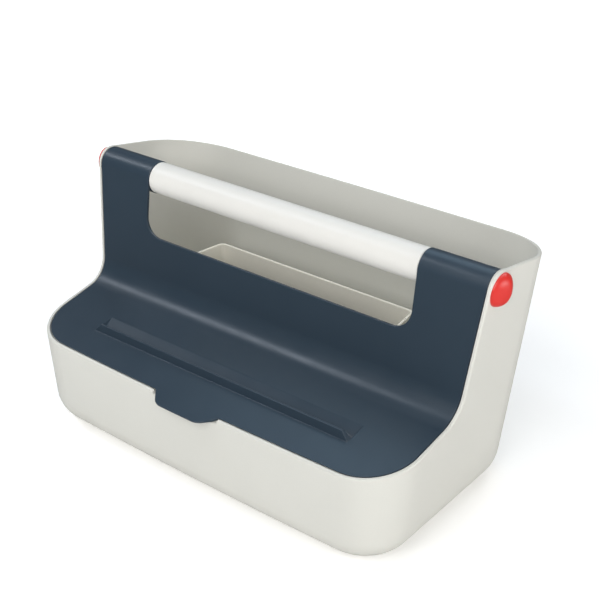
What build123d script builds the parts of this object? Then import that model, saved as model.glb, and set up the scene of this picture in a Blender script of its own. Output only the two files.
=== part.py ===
from build123d import *
import os
from math import sin, cos, tan, radians, sqrt, atan2, degrees

os.makedirs("parts", exist_ok=True)

# Portable file box, millimetres. X is the width (+X to the right seen from the front), Y the depth
# (-Y is the front), Z up. Origin: on the ground, in the middle of the footprint's box.

# ---- driving dimensions -------------------------------------------------------------------------
foot_h = 0.5            # how far the rubber feet stand below the base
a0, ka = 166.3, 0.087   # half width of the tub at z = 0, and its draft per mm of height
f0, kf = 96.2, 0.030    # front wall: distance ahead of the origin at z = 0, and draft
b0, kb = 91.3, 0.088    # rear wall: distance behind the origin at z = 0, and draft
rf0, kr = 38.0, 0.031   # front plan corner radius at z = 0 and its growth
rr0 = 43.5              # rear plan corner radius at z = 0
bow_f, bow_r = 2.8, 2.1 # outward bow of the front and rear walls over the half width
r_base = 24.5           # big radius where the walls meet the base
wall = 2.6              # tub wall
floor_t = 2.8           # tub floor

zf = 76.3               # height of the front rim
front_y = -98.5         # outer face of the front wall at that height
alpha = 11.0            # slope of the lid's shelf, degrees
r_bend = 23.0           # concave bend between shelf and back slope
beta = 82.2             # steepness of the back slope, degrees
yh, zh = 14.0, 183.0    # axis of the handle, which is the lid's hinge axis
ra = 13.0               # outer radius of the lid's arms round the hinge
gamma = 9.5             # fall of the rear rim, degrees
rear_sag = 1.9          # extra fall of the rear rim at the back, below that straight line
rim_over = 0.2          # the tub's rim stands this far above the lid

lid_t = 2.4             # lid sheet
lid_in = 2.93           # lid edge, in from the tub's outer face
arm_x = 126.1           # inner edges of the lid's arms, and the ends of the handle tube
cut_z = 140.2           # lower edge of the hand cut-out
cut_r = 15.0            # its corners

slot_x = 122.5          # half length of the device slot
slot_back, slot_front = -50.0, -64.5
slot_d = 3.6            # slot depth at the front
lip_h = 5.8             # lip in front of the slot
lip_x = 117.0           # half length of the lip's crest
lip_foot = -73.2

tab_root, tab_tip = 30.1, 20.6   # half widths of the pull tab
tab_y = -107.0          # front of the tab
tab_r = 12.0

handle_r, handle_in = 12.5, 9.8
pin_r = 10.5
knuckle_in = 10.58
boss_r = 10.4
boss_x = 177.5          # inner face of the boss on the side wall
seat_x = 181.1          # floor of the outside counterbore
pocket_x = 180.0        # floor of the pocket in the side wall that the arm's flat end turns in
cap_r, cap_h = 12.0, 8.2

div_y = 48.4            # front face of the divider behind the handle
div_x = 93.0            # facing sides of its returns, at the back
div_spread = 5.2         # how much further out they meet the wings
div_wing_y = 12.0       # front face of its wings
div_top = 122.5
div_t = 2.0
div_r = 3.0

ZT = 230.0              # top of the construction lofts


def half(z):  return a0 + ka * z
def front(z): return f0 + kf * z
def rear(z):  return b0 + kb * z


def outline(z, inset=0.0):
    """Closed plan outline of the tub at height z, moved in by inset: bowed front and rear, straight
    drafted sides, and corner arcs tangent to both."""
    a = half(z) - inset
    rf, rr = rf0 + kr * z - inset, rr0 + kr * z - inset
    yf, yr = -(front(z) - inset), rear(z) - inset
    A = half(z)
    Rf = (A * A + bow_f ** 2) / (2 * bow_f) - inset
    Rr = (A * A + bow_r ** 2) / (2 * bow_r) - inset
    cf = yf + Rf                      # centre of the front bow
    cr = yr - Rr
    ycf = cf - sqrt((Rf - rf) ** 2 - (a - rf) ** 2)
    ycr = cr + sqrt((Rr - rr) ** 2 - (a - rr) ** 2)
    # tangent points of the corner arcs with the bows
    def on(c, R, cx, cy):
        d = sqrt(cx * cx + (cy - c) ** 2)
        return (cx / d * R, c + (cy - c) / d * R)
    tf = on(cf, Rf, a - rf, ycf)
    tr = on(cr, Rr, a - rr, ycr)
    def mid(cx, cy, r, p, q):
        vx, vy = (p[0] + q[0]) / 2 - cx, (p[1] + q[1]) / 2 - cy
        n = sqrt(vx * vx + vy * vy)
        return (cx + vx / n * r, cy + vy / n * r)
    mf = mid(a - rf, ycf, rf, tf, (a, ycf))
    mr = mid(a - rr, ycr, rr, tr, (a, ycr))
    P = lambda x, y: (x, y, z)
    M = lambda p: (-p[0], p[1])
    e = [
        ThreePointArc(P(*M(tf)), P(0, yf), P(*tf)),
        ThreePointArc(P(*tf), P(*mf), P(a, ycf)),
        Line(P(a, ycf), P(a, ycr)),
        ThreePointArc(P(a, ycr), P(*mr), P(*tr)),
        ThreePointArc(P(*tr), P(0, yr), P(*M(tr))),
        ThreePointArc(P(*M(tr)), P(*M(mr)), P(-a, ycr)),
        Line(P(-a, ycr), P(-a, ycf)),
        ThreePointArc(P(-a, ycf), P(*M(mf)), P(*M(tf))),
    ]
    return Wire(e)


def body(z0, z1, inset=0.0, r=0.0):
    """Drafted block between two heights, with the base radius r."""
    s = loft([Face(outline(z0, inset)), Face(outline(z1, inset))], ruled=True)
    s = Solid(s.solids()[0].wrapped) if not isinstance(s, Solid) else s
    if r > 0:
        s = s.fillet(r, s.faces().sort_by(Axis.Z)[0].edges())
    return s


def yz(pts_wire, x0, x1):
    """Face drawn in the YZ plane, extruded from x0 to x1."""
    f = Face(pts_wire)
    return extrude(f.moved(Location((x0, 0, 0))), amount=x1 - x0, dir=(1, 0, 0))


def poly(pts, x0, x1):
    w = Wire([Line((0, *pts[i]), (0, *pts[(i + 1) % len(pts)])) for i in range(len(pts))])
    return yz(w, x0, x1)


# ---- the S-shaped profile shared by the lid and the side walls ----------------------------------
A_, B_, G_ = radians(alpha), radians(beta), radians(gamma)


def plane_z(y, n=0.0):
    """Height of the shelf's top plane at y, moved n along its normal."""
    return zf + tan(A_) * (y - front_y) + n / cos(A_)


def profile(off):
    """Points of the S-curve moved off (mm) outwards/upwards from the lid's top surface."""
    rb, rc = r_bend - off, ra + off
    d1, n1 = (cos(A_), sin(A_)), (-sin(A_), cos(A_))
    d2, n2 = (cos(B_), sin(B_)), (-sin(B_), cos(B_))
    p1 = (front_y + n1[0] * off, zf + n1[1] * off)
    q = (yh + n2[0] * rc, zh + n2[1] * rc)          # where the back slope meets the hinge circle
    # crossing of the two straight lines
    det = d1[0] * (-d2[1]) - d1[1] * (-d2[0])
    rx, rz = q[0] - p1[0], q[1] - p1[1]
    s = (rx * (-d2[1]) - rz * (-d2[0])) / det
    c = (p1[0] + d1[0] * s, p1[1] + d1[1] * s)
    tl = rb * tan((B_ - A_) / 2)
    t1 = (c[0] - d1[0] * tl, c[1] - d1[1] * tl)
    t2 = (c[0] + d2[0] * tl, c[1] + d2[1] * tl)
    cc = (t1[0] + n1[0] * rb, t1[1] + n1[1] * rb)   # centre of the concave bend
    am = (A_ + B_) / 2 - radians(90)
    m1 = (cc[0] + rb * cos(am), cc[1] + rb * sin(am))
    start = (p1[0] - d1[0] * 40, p1[1] - d1[1] * 40)
    at = lambda deg: (yh + rc * cos(radians(deg)), zh + rc * sin(radians(deg)))
    return dict(start=start, p1=p1, t1=t1, m1=m1, t2=t2, q=q, at=at, cc=cc)


S0 = profile(0.0)
SR = profile(rim_over)
SU = profile(-lid_t)

# ---- box_shell ----------------------------------------------------------------------------------
base_z = foot_h
outer = body(base_z, ZT, 0.0, r_base)
inner = body(base_z + floor_t, ZT + 1, wall, r_base - wall)
shell = outer - inner

# everything above the rim goes
e_ang = 90 - gamma
e = SR["at"](e_ang)
rear_y = 125.0
rear_z = e[1] - (rear_y - e[0]) * tan(G_) - rear_sag * ((rear_y - e[0]) / 90.9) ** 2
mid_y = (e[0] + rear_y) / 2
mid_z = e[1] - (mid_y - e[0]) * tan(G_) - rear_sag * ((mid_y - e[0]) / 90.9) ** 2
X3 = lambda p: (0, p[0], p[1])
cutter = Wire([
    Line(X3(SR["start"]), X3(SR["t1"])),
    ThreePointArc(X3(SR["t1"]), X3(SR["m1"]), X3(SR["t2"])),
    Line(X3(SR["t2"]), X3(SR["q"])),
    ThreePointArc(X3(SR["q"]), X3(SR["at"]((beta + 90 + e_ang) / 2)), X3(e)),
    ThreePointArc(X3(e), (0, mid_y, mid_z), (0, rear_y, rear_z)),
    Line((0, rear_y, rear_z), (0, rear_y, 260)),
    Line((0, rear_y, 260), X3((SR["start"][0], 260))),
    Line(X3((SR["start"][0], 260)), X3(SR["start"])),
])
shell = shell - yz(cutter, -240, 240)

# seat inside the front rim: a ledge that carries the lid's front edge. Its upper part is cut along
# the way the lid's edge leaves, forward and up, so that the lid swings clear of the rim.
seat_drop = lid_t + 0.3
slab = poly([(-120, plane_z(-120, -seat_drop - 3.2)), (-62, plane_z(-62, -seat_drop - 3.2)),
             (-62, plane_z(-62, rim_over)), (-120, plane_z(-120, rim_over))], -200, 200)
ledge = (body(40, ZT, wall - 0.3) & slab) - body(30, ZT, 7.4)
move_dir = (0, -0.70, 0.714)


def shelf_prism(inset, n0, y_back):
    """Outline of the lid's shelf on its own sloping plane, swept along the lid's first movement."""
    pl = Plane(origin=(0, front_y, zf), x_dir=(1, 0, 0), z_dir=(0, -sin(A_), cos(A_)))
    big = Face(Wire([Line(*[pl.from_local_coords(v) for v in s]) for s in
                     [((-200, -30), (200, -30)), ((200, -30), (200, 60)), ((200, 60), (-200, 60)), ((-200, 60), (-200, -30))]]))
    f = body(40, ZT, inset) & big
    f = f.faces()[0] if not isinstance(f, Face) else f
    d = Vector(*move_dir)
    lo = f.moved(Location(d * (-9.0)))
    p = extrude(lo, amount=18.0, dir=move_dir)
    keep = poly([(-140, 40), (y_back, 40), (y_back, 120), (-140, 120)], -200, 200)
    return p & keep


clear = shelf_prism(wall, 0, -50) & poly([(-140, plane_z(-140, -seat_drop)), (-50, plane_z(-50, -seat_drop)), (-50, 120), (-140, 120)], -200, 200)
shell = (shell + ledge) - clear

# notch in the front rim for the pull tab
def tab_face(g, z):
    pts = [(-(tab_root + g + 1.6), -90), (-(tab_root + g + 0.6), -96), (-(tab_tip + g), tab_y - g - 6), (tab_tip + g, tab_y - g - 6),
           (tab_root + g + 0.6, -96), (tab_root + g + 1.6, -90)]
    return Face(Wire([Line((*pts[i], z), (*pts[(i + 1) % len(pts)], z)) for i in range(len(pts))]))
notch = extrude(tab_face(0.5, 60), amount=40, dir=(0, 0, 1)) & poly(
    [(-130, plane_z(-130, -seat_drop)), (-93, plane_z(-93, -seat_drop)), (-93, 100), (-130, 100)], -60, 60)
shell = shell - notch


def cyl(r, x0, x1, y=yh, z=zh):
    """Cylinder along X."""
    return Solid.make_cylinder(r, abs(x1 - x0), Plane(origin=(min(x0, x1), y, z), z_dir=(1, 0, 0)))


# hinge bosses inside the side walls, holes, and the flat seats outside under the caps
# (round each hinge a flat pocket in the wall leaves room for the turning arm, whose end is flat there)
for s in (1, -1):
    shell = shell - cyl(ra + 0.35, s * 150, s * pocket_x)
    shell = shell + (cyl(boss_r, s * boss_x, s * 184) & body(100, ZT, 0.6))
    shell = shell - cyl(9.3, s * seat_x, s * 200)
    shell = shell - cyl(5.7, s * (boss_x - 5), s * 200)

# channels that hold the divider's ends: a pair of ribs on each side wall, and two low ribs on the floor
gap = div_t + 0.5
for s in (1, -1):
    for y0 in (div_wing_y - 0.25 - 1.8, div_wing_y - 0.25 + gap):
        rib = Box(14, 1.8, 112, align=(Align.CENTER, Align.MIN, Align.MIN)).moved(Location((s * 174, y0, base_z + 1)))
        rib = (rib & body(base_z + 1, ZT, 1.3)) - poly([(-20, 108), (60, 108), (60, 300), (-20, 300)], -200, 200)
        inward = Box(400, 10, 300).moved(Location((s * (half(60) - wall - 3.2 - 200), y0, 100)))
        shell = shell + (rib - inward)
shell = shell.solids().sort_by(SortBy.VOLUME)[-1]

# ---- lid ----------------------------------------------------------------------------------------
sheet = Wire([
    Line(X3(S0["start"]), X3(S0["t1"])),
    ThreePointArc(X3(S0["t1"]), X3(S0["m1"]), X3(S0["t2"])),
    Line(X3(S0["t2"]), X3(S0["q"])),
    ThreePointArc(X3(S0["q"]), X3(S0["at"](135)), X3(S0["at"](100))),
    Line(X3(S0["at"](100)), X3(SU["at"](100))),
    ThreePointArc(X3(SU["at"](100)), X3(SU["at"](135)), X3(SU["q"])),
    Line(X3(SU["q"]), X3(SU["t2"])),
    ThreePointArc(X3(SU["t2"]), X3(SU["m1"]), X3(SU["t1"])),
    Line(X3(SU["t1"]), X3(SU["start"])),
    Line(X3(SU["start"]), X3(S0["start"])),
])
whole = yz(sheet, -200, 200)
# outline: the shelf's front follows its swept prism, the rest the drafted side walls
part_a = (whole & body(30, ZT, lid_in)) & poly([(-60, 30), (80, 30), (80, 240), (-60, 240)], -200, 200)
part_b = (whole & shelf_prism(lid_in, 0, -60)) & poly([(-160, 30), (-60, 30), (-60, 240), (-160, 240)], -200, 200)
# hand cut-out between the arms
hc = [(-arm_x, 260), (-arm_x, cut_z), (arm_x, cut_z), (arm_x, 260)]
w = Wire([Line((p[0], -60, p[1]), (q[0], -60, q[1])) for p, q in zip(hc, hc[1:] + hc[:1])])
hand = extrude(Face(w), amount=140, dir=(0, 1, 0))
hand = hand.fillet(cut_r, hand.edges().filter_by(Axis.Y).sort_by(Axis.Z)[:2])
part_a = part_a - hand
lid = part_a + part_b
for s in (1, -1):
    # each arm wraps round the hinge pin, and is open below and behind so that it snaps over it
    wrap = cyl(ra, s * arm_x, s * 190) - cyl(knuckle_in, s * (arm_x - 5), s * 200)
    mouth = [(yh + r * cos(radians(t)), zh + r * sin(radians(t))) for r, t in ((4, -50), (24, -22), (30, -50), (24, -78))]
    lid = lid + ((wrap - poly(mouth, -200, 200)) & body(90, ZT, lid_in))
    lid = lid - cyl(ra + 0.1, s * (pocket_x - 0.3), s * 200)
N = lambda y, n: (y - n * sin(A_), plane_z(y) + n * cos(A_))   # y along the shelf, n along its normal
lid = lid + poly([N(-46, -1.2), N(slot_back + 4, -lid_t), N(slot_front, -slot_d - lid_t), N(slot_front - 2.6, -slot_d - lid_t),
                  N(slot_front - 4.5, -1.2)], -slot_x - 2.4, slot_x + 2.4)
# the lip: upright behind, rounded crest, steep front running out in a soft fillet
cr_ = 0.9
lipw = Wire([
    Line(X3(N(slot_front, -1.0)), X3(N(slot_front, lip_h - cr_))),
    ThreePointArc(X3(N(slot_front, lip_h - cr_)), X3(N(slot_front - cr_ * 0.35, lip_h - 0.22)), X3(N(slot_front - 1.2, lip_h - 0.1))),
    ThreePointArc(X3(N(slot_front - 1.2, lip_h - 0.1)), X3(N(slot_front - 2.0, lip_h - 0.55)), X3(N(slot_front - 2.5, lip_h - 1.3))),
    Line(X3(N(slot_front - 2.5, lip_h - 1.3)), X3(N(slot_front - 4.2, 1.75))),
    ThreePointArc(X3(N(slot_front - 4.2, 1.75)), X3(N(slot_front - 5.8, 0.45)), X3(N(lip_foot, 0.0))),
    Line(X3(N(lip_foot, 0.0)), X3(N(lip_foot, -1.0))),
    Line(X3(N(lip_foot, -1.0)), X3(N(slot_front, -1.0))),
])
lip = yz(lipw, -slot_x, slot_x)
for s in (1, -1):
    # sloping ends of the lip
    z0 = plane_z(slot_front - 4)
    pts = [(s * lip_x, z0 + lip_h + 0.2), (s * (slot_x + 0.4), z0 - 2.0), (s * 140, z0 - 2.0), (s * 140, z0 + 20), (s * lip_x, z0 + 20)]
    w = Wire([Line((p[0], -90, p[1]), (q[0], -90, q[1])) for p, q in zip(pts, pts[1:] + pts[:1])])
    lip = lip - extrude(Face(w), amount=60, dir=(0, 1, 0))
lid = lid + lip
lid = lid - poly([N(slot_back, 0.02), N(slot_front, -slot_d), N(slot_front, 0.02)], -slot_x, slot_x)

# pull tab in the shelf's plane, thinning towards its rounded tip
tp = [(-(tab_root + 1.2), -93), (-tab_root, -96), (-tab_tip, tab_y), (tab_tip, tab_y), (tab_root, -96), (tab_root + 1.2, -93)]
w = Wire([Line((*tp[i], 60), (*tp[(i + 1) % len(tp)], 60)) for i in range(len(tp))])
tab = extrude(Face(w), amount=40, dir=(0, 0, 1))
ve = tab.edges().filter_by(Axis.Z).sort_by(Axis.Y)
tab = tab.fillet(tab_r, ve[:2])
tab = tab & poly([N(-93, 0), N(tab_y - 6, 0), N(tab_y - 6, -0.9), N(-99, -lid_t), N(-93, -lid_t)], -60, 60)
lid = lid + tab
lid = lid.solids().sort_by(SortBy.VOLUME)[-1]

# ---- handle, hinge pins, screws, caps -----------------------------------------------------------
handle_tube = cyl(handle_r, -arm_x + 0.3, arm_x - 0.3) - cyl(handle_in, -200, 200)
pins, washers, screws, caps = {}, {}, [], {}
for s, side in ((1, "right"), (-1, "left")):
    pin = cyl(pin_r, s * (arm_x + 0.15), s * (boss_x - 0.15))            # bearing length for the lid's arm
    pin = pin + cyl(handle_in - 0.05, s * (arm_x - 24), s * (arm_x + 0.2))  # plug in the handle tube
    pin = pin + cyl(5.5, s * (boss_x - 1), s * (seat_x - 0.05))           # neck through the side wall
    pin = pin - cyl(7.2, s * (arm_x - 30), s * (boss_x - 16))             # cored out from the inner end
    pin = pin - cyl(2.25, s * (boss_x - 20), s * 200)                     # screw hole
    pins[side] = pin
    washers[side] = cyl(9.0, s * seat_x, s * (seat_x + 1.3)) - cyl(2.7, s * (seat_x - 1), s * (seat_x + 3))
    hd = cyl(4.6, s * (seat_x + 1.35), s * (seat_x + 4.2))
    hd = hd.fillet(1.1, [hd.edges().filter_by(GeomType.CIRCLE).sort_by(Axis.X)[-1 if s > 0 else 0]])
    dr = Box(3.6, 1.2, 5.2).moved(Location((s * (seat_x + 4.2), yh, zh))) + Box(3.6, 5.2, 1.2).moved(Location((s * (seat_x + 4.2), yh, zh)))
    screws.append((hd + cyl(2.2, s * (boss_x - 14), s * (seat_x + 1.6))) - dr)
    # domed cap: half ellipsoid on the drafted wall, hollow, with a rim that grips the washer
    el = Solid.make_sphere(cap_r)
    tilt = s * degrees(atan2(ka, 1))
    x_wall = half(zh)
    dome = scale(el, by=((cap_h) / cap_r, 1, 1)).moved(Location((s * (x_wall + 0.1), yh, zh)) * Rotation(0, tilt, 0))
    cav = scale(el, by=((cap_h - 2.2) / cap_r, 9.15 / cap_r, 9.15 / cap_r)).moved(Location((s * (x_wall + 0.1), yh, zh)))
    dome = (dome - body(60, ZT, -0.12)) - cav
    dome = dome - cyl(4.9, s * (seat_x), s * (seat_x + 4.6))
    caps[side] = dome.solids().sort_by(SortBy.VOLUME)[-1]

# ---- divider ------------------------------------------------------------------------------------
def in_front(off, z0, z1):
    """Block of everything ahead of the divider's plan line, that line moved off mm forward of the
    divider's rear face. The returns spread a little towards the wings."""
    y1, y0, x1 = div_y + div_t - off, div_wing_y + div_t - off, div_x + div_t - off
    x0 = x1 + div_spread
    b = Box(420, 200, z1 - z0, align=(Align.CENTER, Align.MAX, Align.MIN)).moved(Location((0, y0, z0)))
    recess = Polyline((-x0, y0 - 60), (-x0, y0), (-x1, y1), (x1, y1), (x0, y0), (x0, y0 - 60), close=True)
    b = b + extrude(make_face(recess), z1 - z0).moved(Location((0, 0, z0)))
    b = b.solids()[0]
    up = b.edges().filter_by(Axis.Z)
    b = b.fillet(div_r + div_t - off, [e for e in up if e.center().Y > y1 - 0.1])
    up = b.edges().filter_by(Axis.Z)
    return b.fillet(5.0 - div_t + off, [e for e in up if abs(e.center().Y - y0) < 0.01 and abs(abs(e.center().X) - x0) < 0.01])


def div_solid(z0, z1, t0, t1):
    """Wall between two such lines."""
    return (in_front(t0, z0, z1) - in_front(t1, z0 - 1, z1 + 1)).solids().sort_by(SortBy.VOLUME)[-1]


div_floor = base_z + floor_t + 0.2
divider = div_solid(div_floor, div_top, 0.0, div_t)
foot_strip = div_solid(div_floor, div_floor + 2.0, -2.5, 0.2)     # foot flange behind the wall
divider = divider + foot_strip
divider = divider & body(base_z + floor_t + 0.2, ZT, wall + 0.35, r_base - wall - 0.3)
# the wings' foot stops short of the side wall ribs
for s in (1, -1):
    divider = divider - Box(60, 20, 40, align=(Align.MIN if s > 0 else Align.MAX, Align.MIN, Align.MIN)).moved(
        Location((s * (half(40) - wall - 16), div_wing_y + div_t + 0.01, 0)))
divider = divider.solids().sort_by(SortBy.VOLUME)[-1]

# ---- feet ---------------------------------------------------------------------------------------
feet = []
for x in (-118, 118):
    for y in (-52, 52):
        p = Solid.make_cylinder(8.0, 1.3, Plane(origin=(x, y, 0), z_dir=(0, 0, 1)))
        p = p.fillet(0.5, [p.edges().filter_by(GeomType.CIRCLE).sort_by(Axis.Z)[0]])
        feet.append(p)
        shell = shell - Solid.make_cylinder(8.1, 0.85, Plane(origin=(x, y, base_z - 0.01), z_dir=(0, 0, 1)))
shell = shell.solids().sort_by(SortBy.VOLUME)[-1]

# ---- write --------------------------------------------------------------------------------------
nodes = {
    "box_shell": shell,
    "divider": divider,
    "lid": lid,
    "handle_tube": handle_tube,
    "hinge_pin_right": pins["right"],
    "hinge_pin_left": pins["left"],
    "cap_washer_right": washers["right"],
    "cap_washer_left": washers["left"],
    "handle_screws": Compound(children=[Solid(s.solids()[0].wrapped) for s in screws]),
    "pivot_cap_right": caps["right"],
    "pivot_cap_left": caps["left"],
    "feet": Compound(children=feet),
}
for name, shape in nodes.items():
    bb = shape.bounding_box()
    print(f"{name:18s} vol {shape.volume/1000:8.2f} cm3  x {bb.min.X:7.1f} {bb.max.X:7.1f}  y {bb.min.Y:7.1f} {bb.max.Y:7.1f}  z {bb.min.Z:7.1f} {bb.max.Z:7.1f}")
    export_step(shape, f"parts/{name}.step")
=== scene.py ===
import bpy, math
import numpy as np
from math import sin, cos, tan, radians, sqrt, atan2, pi
from mathutils import Vector, Matrix
from mathutils.geometry import delaunay_2d_cdt


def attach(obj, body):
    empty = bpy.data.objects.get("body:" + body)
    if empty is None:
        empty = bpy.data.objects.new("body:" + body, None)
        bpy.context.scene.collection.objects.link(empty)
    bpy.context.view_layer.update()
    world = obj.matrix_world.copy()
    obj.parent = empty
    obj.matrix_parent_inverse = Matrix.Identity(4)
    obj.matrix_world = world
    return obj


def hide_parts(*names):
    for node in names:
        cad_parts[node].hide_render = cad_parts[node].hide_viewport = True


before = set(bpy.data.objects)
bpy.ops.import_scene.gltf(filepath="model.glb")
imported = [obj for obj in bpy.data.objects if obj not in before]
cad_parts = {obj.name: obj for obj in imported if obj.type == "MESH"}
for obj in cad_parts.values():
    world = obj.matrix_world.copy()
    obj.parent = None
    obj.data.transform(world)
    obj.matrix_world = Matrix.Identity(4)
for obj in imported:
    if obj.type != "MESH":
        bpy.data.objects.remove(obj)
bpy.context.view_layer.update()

# Portable file box. Lengths below are millimetres in the CAD frame (X width, -Y front, Z up) and
# are turned into metres where each mesh is written.

# ---- the object's dimensions, as in the CAD --------------------------------------------------
BASE = 0.5
A0, KA = 166.3, 0.087
F0, KF = 96.2, 0.030
B0, KB = 91.3, 0.088
RF0, KR, RR0 = 38.0, 0.031, 43.5
BOWF, BOWR = 2.8, 2.1
RB, WALL, FLOOR = 24.5, 2.6, 2.8
ZF, FY = 76.3, -98.5
AL, BE, GA = radians(11.0), radians(82.2), radians(9.5)
RBEND, YH, ZH, RA = 23.0, 14.0, 183.0, 13.0
SAG, OVER = 1.9, 0.2
LT, LIN = 2.4, 2.93
ARM = 126.1
EDGE = LIN + 0.28       # the lid's edge, with the rounding of its moulded rim
POCKET = 180.0


def half(z): return A0 + KA * z
def plane_z(y, n=0.0): return ZF + tan(AL) * (y - FY) + n / cos(AL)


# ---- mesh helpers ----------------------------------------------------------------------------
class Build:
    """Vertices and faces of one piece, in millimetres, with an optional normal for each vertex."""

    def __init__(self):
        self.v, self.f, self.n, self.m = [], [], [], []

    def add(self, verts, faces, normals=None, mat=0):
        base = len(self.v)
        self.v += [tuple(p) for p in verts]
        self.n += [tuple(p) for p in normals] if normals is not None else [(0.0, 0.0, 0.0)] * len(verts)
        self.f += [tuple(base + i for i in fc) for fc in faces]
        self.m += [mat] * len(faces)
        return base

    def grid(self, P, close_u=False, close_v=False, flip=False, normals=None, mat=0):
        """P[u][v] points; faces between neighbours."""
        P = np.asarray(P, float)
        nu, nv = P.shape[:2]
        faces = []
        for i in range(nu if close_u else nu - 1):
            for j in range(nv if close_v else nv - 1):
                a, b = i * nv + j, ((i + 1) % nu) * nv + j
                c, d = ((i + 1) % nu) * nv + (j + 1) % nv, i * nv + (j + 1) % nv
                faces.append((a, d, c, b) if flip else (a, b, c, d))
        N = None if normals is None else np.asarray(normals, float).reshape(-1, 3)
        return self.add(P.reshape(-1, 3), faces, N, mat)

    def make(self, name, mats, body, nodes=(), merge=True):
        me = bpy.data.meshes.new(name)
        V = np.array(self.v, float) * 0.001
        me.from_pydata(V.tolist(), [], self.f)
        for m in mats:
            me.materials.append(m)
        me.polygons.foreach_set("material_index", self.m)
        me.polygons.foreach_set("use_smooth", [True] * len(me.polygons))
        N = np.array(self.n, float)
        if np.any(N):
            ln = np.linalg.norm(N, axis=1)
            # vertices with no stated normal keep the mesh's own
            own = np.array([v.normal[:] for v in me.vertices])
            N[ln < 0.5] = own[ln < 0.5]
            me.normals_split_custom_set_from_vertices(N.tolist())
        me.update()
        ob = bpy.data.objects.new(name, me)
        bpy.context.scene.collection.objects.link(ob)
        if nodes:
            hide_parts(*nodes)
        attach(ob, body)
        return ob


# ---- plan outline ----------------------------------------------------------------------------
def plan(z, inset=0.0):
    """The outline's arcs at height z, moved in by inset: centres, radii and tangent points."""
    A = half(z)
    a = A - inset
    rf, rr = RF0 + KR * z - inset, RR0 + KR * z - inset
    yf, yr = -(F0 + KF * z - inset), B0 + KB * z - inset
    Rf = (A * A + BOWF ** 2) / (2 * BOWF) - inset
    Rr = (A * A + BOWR ** 2) / (2 * BOWR) - inset
    cf, cr = yf + Rf, yr - Rr
    ycf = cf - sqrt((Rf - rf) ** 2 - (a - rf) ** 2)
    ycr = cr + sqrt((Rr - rr) ** 2 - (a - rr) ** 2)
    gf = atan2(ycf - cf, a - rf)      # direction from the bow's centre to the corner's centre
    gr = atan2(ycr - cr, a - rr)
    return a, rf, rr, Rf, Rr, cf, cr, ycf, ycr, gf, gr


YS0, YS1 = -52.0, 43.0       # the straight side's columns stand upright between these


def at(key, z, inset=0.0):
    """Plan position of a column on the outline; key = (part, value), right half only."""
    a, rf, rr, Rf, Rr, cf, cr, ycf, ycr, gf, gr = plan(z, inset)
    part, v = key
    if part == 0:        # front bow, v = 0 in the middle .. 1 at the corner
        t = -pi / 2 + v * (gf + pi / 2)
        return Rf * cos(t), cf + Rf * sin(t)
    if part == 1:        # front corner
        t = gf + v * (0 - gf)
        return a - rf + rf * cos(t), ycf + rf * sin(t)
    if part == 2:
        return a, ycf + v * (YS0 - ycf)
    if part == 3:        # straight side, v is y itself
        return a, v
    if part == 4:
        return a, YS1 + v * (ycr - YS1)
    if part == 5:        # rear corner
        t = v * gr
        return a - rr + rr * cos(t), ycr + rr * sin(t)
    t = gr + v * (pi / 2 - gr)
    return Rr * cos(t), cr + Rr * sin(t)


# ---- the S-profile ---------------------------------------------------------------------------
class Profile:
    """Lid's top surface in the YZ plane, moved off outwards, by arc length s from the front."""

    def __init__(self, off, y_rear=None):
        d1, n1 = (cos(AL), sin(AL)), (-sin(AL), cos(AL))
        d2, n2 = (cos(BE), sin(BE)), (-sin(BE), cos(BE))
        rb, rc = RBEND - off, RA + off
        p1 = (FY + n1[0] * off, ZF + n1[1] * off)
        q = (YH + n2[0] * rc, ZH + n2[1] * rc)
        det = d1[0] * (-d2[1]) - d1[1] * (-d2[0])
        rx, rz = q[0] - p1[0], q[1] - p1[1]
        s = (rx * (-d2[1]) - rz * (-d2[0])) / det
        tl = rb * tan((BE - AL) / 2)
        self.l1 = s - tl
        self.t1 = (p1[0] + d1[0] * self.l1, p1[1] + d1[1] * self.l1)
        c = (p1[0] + d1[0] * s, p1[1] + d1[1] * s)
        self.t2 = (c[0] + d2[0] * tl, c[1] + d2[1] * tl)
        self.cc = (self.t1[0] + n1[0] * rb, self.t1[1] + n1[1] * rb)
        self.l2 = self.l1 + rb * (BE - AL)
        self.l3 = self.l2 + sqrt((q[0] - self.t2[0]) ** 2 + (q[1] - self.t2[1]) ** 2)
        self.p1, self.q, self.d1, self.n1, self.d2, self.n2, self.rb, self.rc = p1, q, d1, n1, d2, n2, rb, rc

    def at(self, s):
        """(y, z, ny, nz) at arc length s."""
        if s <= self.l1:
            return self.p1[0] + self.d1[0] * s, self.p1[1] + self.d1[1] * s, self.n1[0], self.n1[1]
        if s <= self.l2:
            t = AL + (s - self.l1) / self.rb - pi / 2
            return self.cc[0] + self.rb * cos(t), self.cc[1] + self.rb * sin(t), -cos(t), -sin(t)
        if s <= self.l3:
            u = s - self.l2
            return self.t2[0] + self.d2[0] * u, self.t2[1] + self.d2[1] * u, self.n2[0], self.n2[1]
        t = BE + pi / 2 - (s - self.l3) / self.rc
        return YH + self.rc * cos(t), ZH + self.rc * sin(t), cos(t), sin(t)


RIM = Profile(OVER)
LID = Profile(0.0)
E_ANG = pi / 2 - GA
S_E = RIM.l3 + RIM.rc * (BE + pi / 2 - E_ANG)      # where the rear rim leaves the hinge arc
Y_E, Z_E = YH + RIM.rc * cos(E_ANG), ZH + RIM.rc * sin(E_ANG)


def rear_z(y):
    return Z_E - (y - Y_E) * tan(GA) - SAG * ((y - Y_E) / 90.9) ** 2


# ---- materials -------------------------------------------------------------------------------
def srgb(r, g, b):
    f = lambda c: c / 12.92 if c <= 0.04045 else ((c + 0.055) / 1.055) ** 2.4
    return (f(r / 255), f(g / 255), f(b / 255), 1.0)


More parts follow.
